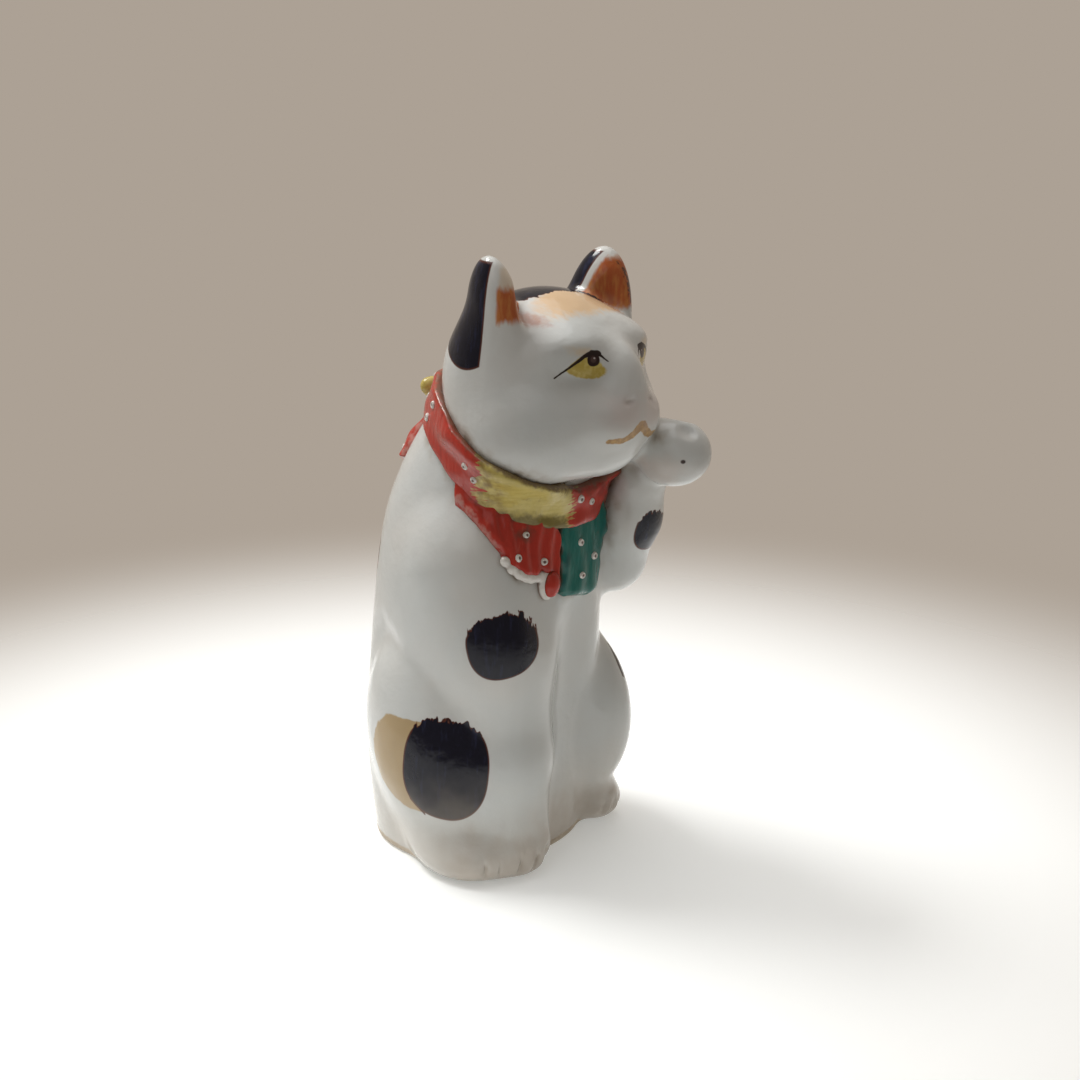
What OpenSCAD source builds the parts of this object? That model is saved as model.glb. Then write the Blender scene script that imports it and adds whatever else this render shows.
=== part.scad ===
// Beckoning cat figurine: a seated, hollow, glazed ceramic cat with its left paw raised.
// It is built as it is potted: cast body and head shells, a foot slab with a vent, legs, arm,
// ears and tail luted on, and a scarf of sprigged strips with raised enamel dots.
// Millimetres. The cat faces -Y, its left is +X, and it stands on Z = 0 with the foot slab's
// centre at the origin.

/* [Body] */
// Height from the standing face to the top of the neck
body_h = 104; // [96:1:110]
// Width of the torso at its widest
body_w = 50; // [46:1:54]
// Front-to-back depth of the torso at its deepest
body_d = 50; // [46:1:54]
// Thickness of the cast walls
wall = 3.5; // [2.5:0.25:4.5]
// Thickness of the foot slab
slab_t = 3; // [2:0.5:4]
// Bore of the vent hole in the foot slab
vent_d = 9; // [6:1:12]
// How far the vent hole lies behind the origin
vent_y = 10; // [8:1:12]

/* [Head] */
// Width of the skull
head_w = 43; // [40:1:46]
// Height of the skull's centre above the standing face
head_z = 106.5; // [104:0.5:109]
// Distance of the skull's centre in front of the origin
head_y = 17.5; // [16:0.5:20]
// Height of the ear tips above the standing face
ear_z = 133.5; // [130:0.5:137]

/* [Legs] */
// Width of one haunch
haunch_w = 24; // [21:1:26]
// Height of the knees
haunch_h = 49; // [44:1:54]
// Thickness of the foreleg at the wrist
foreleg_d = 14; // [12:0.5:16]
// Thickness of the raised arm at the wrist
arm_d = 13; // [11:0.5:14]

/* [Scarf] */
// Height of the collar band
band_h = 9; // [7:0.5:11]
// How far the collar stands proud of the neck
band_t = 2.4; // [1.8:0.2:3]
// Thickness of the bib panels
bib_t = 1.8; // [1.2:0.2:2.4]
// Width of one raised enamel dot
dot_d = 1.7; // [1.3:0.1:2.1]

/* [Hidden] */

eps = 0.01;
far = 300;
glaze = "#e4e9ea";
cols = 40;

// ---- torso: a stack of super-elliptic sections -----------------------------------------
// Each row: height, centre y, half width, half depth.
squareness = 2.3;
half_w = body_w / 2;
half_d = body_d / 2;
torso_rows = [
    [0, 3, half_w - 1.5, half_d - 3],
    [0.115 * body_h, 3, half_w - 0.5, half_d - 2],
    [0.25 * body_h, 2.5, half_w, half_d - 0.5],
    [0.40 * body_h, 0.8, half_w - 0.5, half_d - 0.2],
    [0.54 * body_h, -0.5, half_w - 1, half_d - 0.7],
    [0.655 * body_h, -1.5, half_w - 1.7, half_d - 1.5],
    [0.75 * body_h, -2.5, half_w - 3, half_d - 2.7],
    [0.835 * body_h, -4, half_w - 5.5, half_d - 5],
    [0.915 * body_h, -6.5, half_w - 8.5, half_d - 8],
    [body_h, -9, half_w - 11.5, half_d - 11.5]];

// Slope of column c of the rows at row i, for the smooth curve through them.
function slope(rows, i, c) = let(lo = max(i - 1, 0), hi = min(i + 1, len(rows) - 1))
    (rows[hi][c] - rows[lo][c]) / (rows[hi][0] - rows[lo][0]);
function row_under(rows, z, i = 0) =
    i >= len(rows) - 2 || z < rows[i + 1][0] ? i : row_under(rows, z, i + 1);
// Smooth value of column c at height z.
function along(rows, z, c) =
    let(i = row_under(rows, z), h = rows[i + 1][0] - rows[i][0], t = (z - rows[i][0]) / h)
    (2 * t^3 - 3 * t^2 + 1) * rows[i][c] + (t^3 - 2 * t^2 + t) * h * slope(rows, i, c)
    + (3 * t^2 - 2 * t^3) * rows[i + 1][c] + (t^3 - t^2) * h * slope(rows, i + 1, c);
function power_sign(v, e) = sign(v) * pow(abs(v), e);
// Closed outline of the torso at height z, grown outwards by g.
function torso_section(z, g, n = cols) =
    let(c = along(torso_rows, z, 1), a = along(torso_rows, z, 2) + g, b = along(torso_rows, z, 3) + g)
    [for (j = [0:n - 1]) let(t = 360 * j / n)
        [a * power_sign(cos(t), 2 / squareness), c + b * power_sign(sin(t), 2 / squareness), z]];
// Front of the torso at x and z, grown by g.
function chest_y(x, z, g = 0) =
    let(a = along(torso_rows, z, 2) + g, b = along(torso_rows, z, 3) + g)
    along(torso_rows, z, 1) - b * pow(max(1 - pow(abs(x) / a, squareness), 0), 1 / squareness);

// Closed solid through a list of rings with the same number of points each.
module loft(rings) {
    n = len(rings[0]);
    m = len(rings);
    polyhedron([for (r = rings) each r], concat(
        [[for (j = [0:n - 1]) j]],
        [[for (j = [n - 1:-1:0]) (m - 1) * n + j]],
        [for (i = [0:m - 2], j = [0:n - 1]) [i * n + j, (i + 1) * n + j, i * n + (j + 1) % n]],
        [for (i = [0:m - 2], j = [0:n - 1])
            [(i + 1) * n + j, (i + 1) * n + (j + 1) % n, i * n + (j + 1) % n]]));
}
module torso_solid(g, z0, z1, rings = 24, n = cols) {
    loft([for (i = [0:rings]) torso_section(z0 + (z1 - z0) * i / rings, g, n)]);
}

// ---- smooth blends of ellipsoids --------------------------------------------------------
// A blob is centre, half sizes, turn about x, y and z, and the width of its blend. A negative
// width carves the blob away.
function turned(e) =
    let(rx = [[1, 0, 0], [0, cos(e.x), -sin(e.x)], [0, sin(e.x), cos(e.x)]],
        ry = [[cos(e.y), 0, sin(e.y)], [0, 1, 0], [-sin(e.y), 0, cos(e.y)]],
        rz = [[cos(e.z), -sin(e.z), 0], [sin(e.z), cos(e.z), 0], [0, 0, 1]]) rz * ry * rx;
function made(blobs) = [for (b = blobs) [b[0], b[1], turned(b[2]), b[3]]];
function apart(p, b) =
    let(q = (p - b[0]) * b[2], u = [q.x / b[1].x, q.y / b[1].y, q.z / b[1].z],
        v = [u.x / b[1].x, u.y / b[1].y, u.z / b[1].z], k = norm(u))
    k * (k - 1) / max(norm(v), eps / 10);
function join(a, b, k) = let(h = max(k - abs(a - b), 0) / k) min(a, b) - h * h * k / 4;
function depth(p, blobs, i = 1, d = undef) =
    let(now = is_undef(d) ? apart(p, blobs[0]) : d)
    i == len(blobs) ? now : depth(p, blobs, i + 1,
        let(k = blobs[i][3]) k > 0 ? join(now, apart(p, blobs[i]), k) : -join(-now, apart(p, blobs[i]), -k));
// Distance from c along unit vector u to where the blend is at the given level.
function reach(c, u, blobs, level, lo = 2, hi = 50, n = 13) =
    n == 0 ? (lo + hi) / 2 : let(m = (lo + hi) / 2)
    depth(c + m * u, blobs) < level ? reach(c, u, blobs, level, m, hi, n - 1)
                                    : reach(c, u, blobs, level, lo, m, n - 1);
// Skin of the blend as seen from the inner point c.
module skin(c, raw, level = 0, rows = 18, n = 32) {
    blobs = made(raw);
    rings = [for (i = [1:rows - 1]) let(lat = 180 * i / rows)
        [for (j = [0:n - 1]) let(u = [sin(lat) * cos(360 * j / n), sin(lat) * sin(360 * j / n), -cos(lat)])
            c + u * reach(c, u, blobs, level)]];
    poles = [for (u = [[0, 0, -1], [0, 0, 1]]) c + u * reach(c, u, blobs, level)];
    m = len(rings);
    polyhedron(concat([for (r = rings) each r], poles), concat(
        [for (j = [0:n - 1]) [m * n, j, (j + 1) % n]],
        [for (j = [0:n - 1]) [m * n + 1, (m - 1) * n + (j + 1) % n, (m - 1) * n + j]],
        [for (i = [0:m - 2], j = [0:n - 1]) [i * n + j, (i + 1) * n + j, i * n + (j + 1) % n]],
        [for (i = [0:m - 2], j = [0:n - 1])
            [(i + 1) * n + j, (i + 1) * n + (j + 1) % n, i * n + (j + 1) % n]]));
}

// Lets OpenSCAD's own mesh engine do the cuts of a sculpted piece.
module potted(colour) {
    color(colour) resize([0, 0, 0]) difference() {
        children(0);
        for (i = [1:1:$children - 1]) children(i);
    }
}

// ---- head -------------------------------------------------------------------------------
half_head = head_w / 2;
head_c = [0, -head_y, head_z];
function both(blob) = [for (s = [-1, 1]) [[s * blob[0].x, blob[0].y, blob[0].z], blob[1],
    [blob[2].x, s * blob[2].y, s * blob[2].z], blob[3]]];
head_blobs = concat([
    [head_c, [half_head, half_head - 1, half_head - 2], [8, 0, 0], 1],
    [head_c + [0, -13.5, -5], [12.5, 12, 9.5], [0, 0, 0], 8],
    [head_c + [0, -13.5, -11.5], [7, 6.5, 5], [0, 0, 0], 6]],
    both([head_c + [11, -3.5, -8.5], [11, 13, 11], [0, 0, 0], 6]),
    both([head_c + [8, -11.3, 8.8], [7, 6.5, 3.4], [0, 0, 15], 6]),
    both([head_c + [12, -23.1, 4], [6.5, 5, 3.2], [0, 0, 25], -5]),
    [[head_c + [0, -19, 2], [3.4, 5.5, 7], [-8, 0, 0], 5]]);
neck_at = [0, -10, 88.8];
neck_tilt = 27;
module over_neck(sign) {
    translate(neck_at) rotate([neck_tilt, 0, 0])
        translate([-far / 2, -far / 2, sign > 0 ? 0 : -far]) cube(far);
}
module head_solid(level, rows, n) skin(head_c + [0, -2, 0], head_blobs, level, rows, n);

function ear_blobs(s) = [
    [[s * 15, -18.4, ear_z - 18], [5.2, 8, 18], [4, s * 9, s * 15], 1],
    [[s * 13, -14, ear_z - 25.5], [8, 9, 13], [0, s * 10, 0], 6],
    [[s * 10.5, -26, ear_z - 12.5], [4.6, 6.5, 11], [4, s * 9, s * 40], -1.5]];
module ear(s) {
    potted(glaze) {
        skin([s * 14.2, -17, ear_z - 20], ear_blobs(s), 0, 16, 20);
        head_solid(0, 18, 32);
    }
}

// ---- legs -------------------------------------------------------------------------------
haunch_x = 17.8;
right_thigh = [[-haunch_x, -1.5, haunch_h - 22], [haunch_w / 2, 17, 25.5], [-18, 0, 0], 1];
left_thigh = [[haunch_x, -5.5, haunch_h - 22.5], [haunch_w / 2, 20.5, 23], [0, 0, 0], 1];
function leg_blobs(s) = [
    s < 0 ? right_thigh : left_thigh,
    [[s * (haunch_x + 2.2), -10, 5], [8, 12, 6.5], [0, 0, 0], 5]];
module above_ground() translate([-far / 2, -far / 2, -far]) cube(far);
module hind_leg_solid(s) skin([s * (haunch_x + 1), -7, 12], leg_blobs(s), 0, 20, 28);
module hind_leg(s) {
    potted(glaze) {
        hind_leg_solid(s);
        torso_solid(0, -12, body_h);
        above_ground();
    }
}

// A rounded limb through points, each with its thickness.
module limb(points) {
    for (i = [1:len(points) - 1]) hull()
        for (p = [points[i - 1], points[i]]) translate([p[0], p[1], p[2]]) sphere(d = p[3], $fn = 24);
}
module oval(c, r) translate(c) scale(r) sphere(1, $fn = 24);

module right_foreleg() {
    potted(glaze) {
        union() {
            limb([[-13, -10, 72, 22], [-13, -15.5, 50, foreleg_d + 3], [-12.5, -17.5, 25, foreleg_d + 0.4],
                [-12, -18, 8, foreleg_d]]);
            oval([-12, -19, 4.5], [7.5, 7.5, 5.5]);
        }
        torso_solid(0, -12, body_h);
        hind_leg_solid(-1);
        above_ground();
        bib(-far, far);
    }
}
module raised_left_arm() {
    potted(glaze) {
        union() {
            limb([[16, -8, 70, arm_d + 5], [20.5, -19, 65, arm_d + 1.4], [19.5, -24.6, 75, arm_d + 0.2],
                [18.5, -28.8, 84, arm_d - 1.4]]);
            oval([17.5, -38, 91.6], [7.5, 8.5, 7.2]);
        }
        torso_solid(0, -12, body_h);
        head_solid(0.3, 18, 32);
        bib(-far, far);
        collar_solid();
    }
}
module tail() {
    potted(glaze) {
        limb([[0, 21, 15, 11], [4, 25, 10, 10], [11, 24.5, 6.5, 8.5], [16, 21.5, 5.5, 7]]);
        torso_solid(0, -12, body_h);
        hind_leg_solid(1);
        above_ground();
    }
}

// ---- scarf ------------------------------------------------------------------------------
// How far the collar's middle lies above the neck joint.
collar_lift = 2.2;
function torso_gap(p) =
    let(a = along(torso_rows, p.z, 2), b = along(torso_rows, p.z, 3), c = along(torso_rows, p.z, 1))
    (pow(pow(abs(p.x) / a, squareness) + pow(abs(p.y - c) / b, squareness), 1 / squareness) - 1) * min(a, b);
head_made = made(head_blobs);
function neck_gap(p) = join(torso_gap(p), depth(p, head_made), 5);
collar_up = [0, -sin(neck_tilt), cos(neck_tilt)];
collar_c = neck_at + [0, 2, 2 * tan(neck_tilt)] + collar_lift * collar_up;
function collar_ray(t) = [cos(t), sin(t) * cos(neck_tilt), sin(t) * sin(neck_tilt)];
function neck_reach(t, lo = 5, hi = 35, n = 14) =
    n == 0 ? (lo + hi) / 2 : let(m = (lo + hi) / 2)
    neck_gap(collar_c + m * collar_ray(t)) < 0 ? neck_reach(t, m, hi, n - 1) : neck_reach(t, lo, m, n - 1);
// Point of the collar's skin: t runs around the neck, a around the band's section.
function collar_point(t, a) =
    collar_c + (neck_reach(t) - 0.8 + (band_t + 0.8) * power_sign(cos(a), 0.8)) * collar_ray(t)
    + band_h / 2 * power_sign(sin(a), 0.8) * collar_up;
module collar_solid(n = 48, m = 12) {
    polyhedron([for (i = [0:n - 1], j = [0:m - 1]) collar_point(360 * i / n, 360 * j / m)], concat(
        [for (i = [0:n - 1], j = [0:m - 1])
            [i * m + j, i * m + (j + 1) % m, (i + 1) % n * m + j]],
        [for (i = [0:n - 1], j = [0:m - 1])
            [i * m + (j + 1) % m, (i + 1) % n * m + (j + 1) % m, (i + 1) % n * m + j]]));
}
module collar() {
    potted("#a5281f") {
        collar_solid();
        torso_solid(0, 60, body_h);
        head_solid(0, 18, 32);
    }
}

seam_x = -4.5;
red_outline = [[-20.4, 88], [-20.2, 82], [-19, 76], [-17.4, 71.4], [-15.4, 69.2], [-12.2, 68],
    [-9.6, 68.2], [-8, 66.4], [-6, 65.2], [seam_x, 65.2], [seam_x, 88]];
green_outline = [[seam_x, 88], [seam_x, 63.6], [-3.4, 62.2], [0, 61.2], [4.9, 60.4], [8, 61.4],
    [9.6, 63.5], [10.4, 70], [10.6, 88]];
// How far the bib's side corner stays in front of the origin.
bib_back = 12;
module front_slice(outline) rotate([90, 0, 0]) linear_extrude(far / 2) polygon(outline);
// The part of the bib's thickness between two widths.
module bib(x0, x1) {
    intersection() {
        torso_solid(bib_t, 55, 90);
        union() {
            front_slice(red_outline);
            front_slice(green_outline);
        }
        translate([x0, -far - bib_back, 0]) cube([x1 - x0, far, far]);
        over_neck(-1);
    }
}
module bib_panel(colour, x0, x1) {
    potted(colour) {
        bib(x0, x1);
        torso_solid(0, 50, body_h);
        collar_solid();
    }
}
bead_r = 2.1;
module bead_solid() {
    x = -7.9;
    z = 66.3;
    translate([x, chest_y(x, z, bib_t), z]) sphere(bead_r, $fn = 24);
}
module hem_bead() {
    potted("#a5281f") {
        bead_solid();
        torso_solid(bib_t, 50, body_h);
    }
}
knot_c = collar_point(90, 0) + [0, 0.6, 1.4];
module knot_solid() {
    oval(knot_c, [5.5, 3.6, 3.6]);
    for (s = [-1, 1]) oval(knot_c + [s * 3.5, 0.5, 1.8], [2.6, 2.4, 2]);
}
module nape_knot() {
    potted("#b4a03c") {
        knot_solid();
        torso_solid(0, 80, body_h);
        head_solid(0, 18, 32);
        collar_solid();
    }
}
tail_t = 3.2;
module scarf_tails() {
    potted("#a5281f") {
        intersection() {
            torso_solid(tail_t, 78, 101);
            rotate([-90, 0, 0]) linear_extrude(far / 2) for (s = [-1, 1])
                polygon([[s * 0.4, -98], [s * 3, -99.5], [s * 10, -86], [s * 4.5, -83]]);
        }
        torso_solid(0, 70, body_h);
        head_solid(0, 18, 32);
        collar_solid();
        knot_solid();
    }
}

// Raised dots: [angle around the neck, height across the band], [x, z] on the bib.
collar_dots = [for (t = [0:36:324], v = [-0.5, 0.5]) [t + 14 + 6 * v, v * 0.5]];
bib_dots = [[-15.9, 73], [-9.5, 71.1], [-13.2, 76.3], [1.3, 73], [1.7, 66.1], [6.1, 69.4]];
function on_collar(d) = collar_c + (neck_reach(d[0]) + band_t - 0.15) * collar_ray(d[0])
    + d[1] * band_h * 0.6 * collar_up;
module enamel_dots() {
    potted("#eceae2") {
        for (p = concat([for (d = collar_dots) on_collar(d)],
            [for (d = bib_dots) [d.x, chest_y(d.x, d.y, bib_t), d.y]]))
            translate(p) sphere(d = dot_d, $fn = 10);
        collar_solid();
        torso_solid(bib_t, 55, 90);
        head_solid(0, 18, 32);
    }
}

// ---- cast body --------------------------------------------------------------------------
module base_slab() {
    color("#c9bfae") difference() {
        linear_extrude(slab_t) polygon([for (p = torso_section(0, 0)) [p.x, p.y]]);
        translate([0, vent_y, -1]) cylinder(d = vent_d, h = slab_t + 2, $fn = 48);
    }
}
module torso_shell() {
    potted(glaze) {
        torso_solid(0, slab_t, body_h);
        torso_solid(-wall, slab_t - 1, body_h + 1, 16, 28);
        over_neck(1);
    }
}
module head_shell() {
    potted(glaze) {
        union() {
            head_solid(0, 18, 32);
            torso_solid(0, 60, body_h);
        }
        union() {
            head_solid(-wall, 12, 20);
            torso_solid(-wall, 55, body_h - wall, 16, 28);
        }
        over_neck(-1);
    }
}

base_slab();
torso_shell();
head_shell();
ear(-1);  // right_ear
ear(1);  // left_ear
raised_left_arm();
right_foreleg();
hind_leg(-1);  // right_hind_leg
hind_leg(1);  // left_hind_leg
tail();
collar();
bib_panel("#9e2620", -far, seam_x);  // bib_red_panel
bib_panel("#0f5a50", seam_x, far);  // bib_green_panel
hem_bead();
nape_knot();
scarf_tails();
enamel_dots();
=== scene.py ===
"""Looks of the beckoning cat figurine: glazed body with painted patches, scarf and enamel dots.

The figure is a signed distance field in millimetres, in the CAD's frame. It is meshed once, cut
into the pieces that the potter luted together, and painted by materials that read object
coordinates, so that the paint runs on from piece to piece.
"""
from math import cos, pi, radians, sin

import bpy
import numpy as np
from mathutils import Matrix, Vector


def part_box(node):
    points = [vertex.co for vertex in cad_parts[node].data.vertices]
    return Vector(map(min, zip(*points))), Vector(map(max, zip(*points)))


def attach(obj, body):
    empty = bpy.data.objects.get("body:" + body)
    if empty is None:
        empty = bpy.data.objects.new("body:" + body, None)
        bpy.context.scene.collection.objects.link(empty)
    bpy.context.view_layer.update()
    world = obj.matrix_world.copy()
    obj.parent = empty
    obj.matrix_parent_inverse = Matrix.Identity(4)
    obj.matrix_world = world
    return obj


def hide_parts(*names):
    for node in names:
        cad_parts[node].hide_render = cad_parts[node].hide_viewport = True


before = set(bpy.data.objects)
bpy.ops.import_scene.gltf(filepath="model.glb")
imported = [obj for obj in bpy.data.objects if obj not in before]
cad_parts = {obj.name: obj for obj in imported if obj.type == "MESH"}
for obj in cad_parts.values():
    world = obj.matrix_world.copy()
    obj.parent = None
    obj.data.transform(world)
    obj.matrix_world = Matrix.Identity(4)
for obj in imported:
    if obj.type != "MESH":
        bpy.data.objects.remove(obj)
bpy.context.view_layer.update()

MM = 0.001


# ---------------- distance fields, in millimetres
def turned(turn):
    """Rotation matrix for turns in degrees about x, then y, then z."""
    a, b, c = (radians(t) for t in turn)
    rx = np.array([[1, 0, 0], [0, cos(a), -sin(a)], [0, sin(a), cos(a)]])
    ry = np.array([[cos(b), 0, sin(b)], [0, 1, 0], [-sin(b), 0, cos(b)]])
    rz = np.array([[cos(c), -sin(c), 0], [sin(c), cos(c), 0], [0, 0, 1]])
    return rz @ ry @ rx


def join(a, b, k):
    """Union of two fields with a fillet about k wide."""
    h = np.maximum(k - np.abs(a - b), 0) / k
    return np.minimum(a, b) - h * h * k / 4


def carve(a, b, k):
    """Field a with the outside of field b kept, its edge eased over k."""
    return -join(-a, b, k)


def oval(p, centre, radii, turn=(0, 0, 0)):
    """Near enough the distance to an ellipsoid."""
    q = p - np.array(centre, float)
    if any(turn):
        q = q @ turned(turn)
    u = q / np.array(radii, float)
    v = u / np.array(radii, float)
    k = np.sqrt((u * u).sum(-1))
    return k * (k - 1) / (np.sqrt((v * v).sum(-1)) + 1e-9)


def rod(p, a, ra, b, rb):
    """Rounded, tapered rod from a to b."""
    a, b = np.array(a, float), np.array(b, float)
    d = b - a
    t = np.clip(((p - a) @ d) / (d @ d), 0, 1)
    q = p - a - t[..., None] * d
    return np.sqrt((q * q).sum(-1)) - (ra + (rb - ra) * t)


def rods(p, points, k):
    """Chain of rods; each point is (x, y, z, radius)."""
    d = None
    for a, b in zip(points[:-1], points[1:]):
        e = rod(p, a[:3], a[3], b[:3], b[3])
        d = e if d is None else join(d, e, k)
    return d


def blobs(p, rows, d=None):
    """Blend of ovals; each row is centre, radii, turn, blend, where a negative blend carves."""
    for centre, radii, turn, k in rows:
        e = oval(p, centre, radii, turn)
        d = e if d is None else join(d, e, k) if k > 0 else carve(d, e, -k)
    return d


def both(centre, radii, turn, k):
    """The same row on the right and on the left."""
    return [((s * centre[0],) + tuple(centre[1:]), radii, (turn[0], s * turn[1], s * turn[2]), k)
            for s in (-1, 1)]


def smooth_column(rows, z, column):
    """Smooth curve through one column of the rows, looked up at height z."""
    rows = np.array(rows, float)
    x, y = rows[:, 0], rows[:, column]
    n = len(x)
    lo, hi = np.maximum(np.arange(n) - 1, 0), np.minimum(np.arange(n) + 1, n - 1)
    slope = (y[hi] - y[lo]) / (x[hi] - x[lo])
    i = np.clip(np.searchsorted(x, z, side="right") - 1, 0, n - 2)
    h = x[i + 1] - x[i]
    t = np.clip((z - x[i]) / h, 0, 1)
    return ((2 * t**3 - 3 * t**2 + 1) * y[i] + (t**3 - 2 * t**2 + t) * h * slope[i]
            + (3 * t**2 - 2 * t**3) * y[i + 1] + (t**3 - t**2) * h * slope[i + 1])


def wavy(p, size, seed=0):
    """Cheap smooth noise, about -1 to 1, from a few crossed waves."""
    rng = np.random.default_rng(seed)
    total = 0
    for _ in range(5):
        way = rng.normal(size=3)
        way /= np.linalg.norm(way)
        total = total + np.sin(p @ (way * 2 * pi / size * rng.uniform(0.7, 1.4)) + rng.uniform(0, 2 * pi))
    return total / 3


# ---------------- the figure's shape
# Torso rows: height, centre y, half width, half depth of a super-elliptic section.
SQUARE = 2.3
BODY_TOP = 108.0
TORSO = [(0, 3, 23.5, 22), (12, 3, 24.5, 23), (26, 2.5, 25, 24.5), (41.6, 0.8, 24.5, 24.8),
         (56.2, -0.5, 24, 24.3), (68.1, -1.5, 23.3, 23.5), (78, -2.5, 22, 22.3),
         (86.8, -4, 19.5, 20.5), (95.2, -6, 16.5, 17.8), (104, -9, 13.5, 13.5)]


def trunk(p):
    """The torso rows as one solid, rounded off at its top."""
    z = p[..., 2]
    a = smooth_column(TORSO, z, 2)
    b = smooth_column(TORSO, z, 3)
    r = (np.abs(p[..., 0] / a) ** SQUARE
         + np.abs((p[..., 1] - smooth_column(TORSO, z, 1)) / b) ** SQUARE) ** (1 / SQUARE)
    return -join(-(r - 1) * np.minimum(a, b), BODY_TOP - z, 8)


# The loins draw in behind the upper arm, and the chest is hollowed beside the foreleg.
BODY = [((-16.6, -10, 59), (9, 15.5, 20), (-14, 0, 0), 7),
        ((-27.2, 12, 45), (6.5, 9, 9), (0, 0, 0), -5),
        ((27.2, 12, 45), (6.5, 9, 9), (0, 0, 0), -5),
        ((2.5, -27.2, 30), (8.5, 6.2, 30), (0, 0, 0), -5)]


def torso(p):
    return blobs(p, BODY, trunk(p))


HEAD = ([((0, -17.5, 106.5), (21.5, 20.5, 19.5), (8, 0, 0), 1),
         ((0, -31, 101.5), (12.5, 12, 9.5), (0, 0, 0), 8),
         ((0, -31, 95), (7, 6.5, 5), (0, 0, 0), 6)]
        + both((11, -21, 98), (11, 13, 11), (0, 0, 0), 6)
        + both((8, -28.8, 115.3), (7, 6.5, 3.4), (0, 0, 15), 6)
        + both((12, -40.6, 110.5), (6.5, 5, 3.2), (0, 0, 25), -5)
        + [((0, -36.5, 108.5), (3.4, 5.5, 7), (-8, 0, 0), 5)]
        + both((8.2, -33.2, 112.5), (4.4, 2.4, 2.2), (0, 0, 28), 3)
        + both((4.6, -36.4, 101.2), (4.8, 5.6, 4.6), (0, 0, 20), 2.5)
        + both((3.3, -43.0, 105.6), (1.0, 0.8, 0.5), (0, 20, 30), -1.0))


def head(p):
    return blobs(p, HEAD)


def ear(p, s):
    return blobs(p, [((s * 15, -18.4, 115.5), (5.2, 8.0, 18), (4, s * 9, s * 15), 1),
                     ((s * 13, -14, 108), (8, 9, 13), (0, s * 10, 0), 6),
                     ((s * 11, -26, 122), (4.8, 6.5, 10.5), (4, s * 9, s * 40), -1.5)])


TOE_EASE = 1.3


def toes(p, rows, radii):
    """Grooves between toes; each row is a centre and a turn about z."""
    d = None
    for x, y, z, turn in rows:
        e = oval(p, (x, y, z), radii, (0, 0, turn))
        d = e if d is None else np.minimum(d, e)
    return d


THIGH = {-1: ((-17.8, -1.5, 27), (12, 17, 25.5), (-18, 0, 0), 1),
         1: ((17.8, -5.5, 26.5), (12, 20.5, 23), (0, 0, 0), 1)}


def hind_leg(p, s):
    d = blobs(p, [THIGH[s], ((s * 20, -10, 5), (8, 12, 6.5), (0, 0, 0), 5)])
    cuts = toes(p, [(s * 17.4, -24.6, 3.4, 0), (s * 20.8, -25.4, 3.6, s * 12),
                    (s * 24.4, -23.8, 3.4, s * 30)], (0.8, 4.2, 3.6))
    return carve(d, cuts, TOE_EASE)


def foreleg(p):
    d = rods(p, [(-14, -9, 70, 11.5), (-13.2, -15.5, 50, 8.8), (-12.5, -17.5, 25, 7.3),
                 (-12, -18, 8, 7)], 6)
    ridge = rods(p, [(-9, -15, 62, 5), (-8.6, -19.4, 46, 3.4), (-8.4, -20.4, 26, 3.0),
                     (-8.4, -21.2, 8, 2.8)], 5)
    paw = oval(p, (-12, -18.6, 4.5), (7.2, 7.5, 5.5))
    cuts = toes(p, [(-8.6, -27.7, 2.9, -10), (-11.9, -28.7, 2.9, 0), (-15.2, -27.7, 2.9, 10)],
                (0.8, 3.8, 3.6))
    return carve(join(join(d, ridge, 5), paw, 4), cuts, TOE_EASE)


def arm(p):
    """Bent arm, with two dents in the top of its paw."""
    d = rods(p, [(16, -8, 70, 9), (20.5, -19, 65, 7.2), (19.5, -24.6, 75, 6.6), (18.5, -28.8, 84, 5.8)], 5)
    return blobs(p, [((17.5, -38, 91.6), (7.5, 8.5, 7.2), (0, 0, 0), 3),
                     ((19.5, -38.5, 99.4), (3.0, 3.4, 1.9), (8, 10, 20), -0.7),
                     ((14.8, -43.6, 97.6), (2.7, 2.8, 1.7), (32, -10, 20), -0.7)], d)


def tail(p):
    return rods(p, [(0, 21, 15, 5.5), (4, 25, 10, 5), (11, 24.5, 6.5, 4.3), (16, 21.5, 5.5, 3.5)], 3)


def parts(p):
    """Field of each luted part on its own, by the node it stands for."""
    return {"torso_shell": torso(p), "right_hind_leg": hind_leg(p, -1), "left_hind_leg": hind_leg(p, 1),
            "right_foreleg": foreleg(p), "head_shell": head(p), "right_ear": ear(p, -1),
            "left_ear": ear(p, 1), "raised_left_arm": arm(p), "tail": tail(p)}


# Width of the fillet where each part meets what is already joined.
FILLET = {"right_hind_leg": 3, "left_hind_leg": 3, "right_foreleg": 5, "head_shell": 5, "right_ear": 3,
          "left_ear": 3, "raised_left_arm": 3, "tail": 2}
# The firing vent in the foot: its centre and radius, and its depth up to the hollow.
VENT = (0.0, 10.0, 4.5)
VENT_TOP = 6


def figure(p):
    """The whole cat, cut off level at the ground, with the vent and the hollow behind it."""
    fields = parts(p)
    d = fields["torso_shell"]
    for name, k in FILLET.items():
        d = join(d, fields[name], k)
    z = p[..., 2]
    vent = np.maximum(np.hypot(p[..., 0] - VENT[0], p[..., 1] - VENT[1]) - VENT[2], z - VENT_TOP)
    hollow = join(vent, oval(p, (0, 6, 24), (15, 13, 20)), 1)
    return carve(carve(d, z, 1.2), hollow, 0.8)


# ---------------- the scarf's shape
# The collar's tilted axes at the neck.
TILT = radians(27)
COLLAR_AT = np.array([0, -8, 89.82])
COLLAR_X = np.array([1.0, 0, 0])
COLLAR_Y = np.array([0, cos(TILT), sin(TILT)])
COLLAR_UP = np.array([0, -sin(TILT), cos(TILT)])
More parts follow.
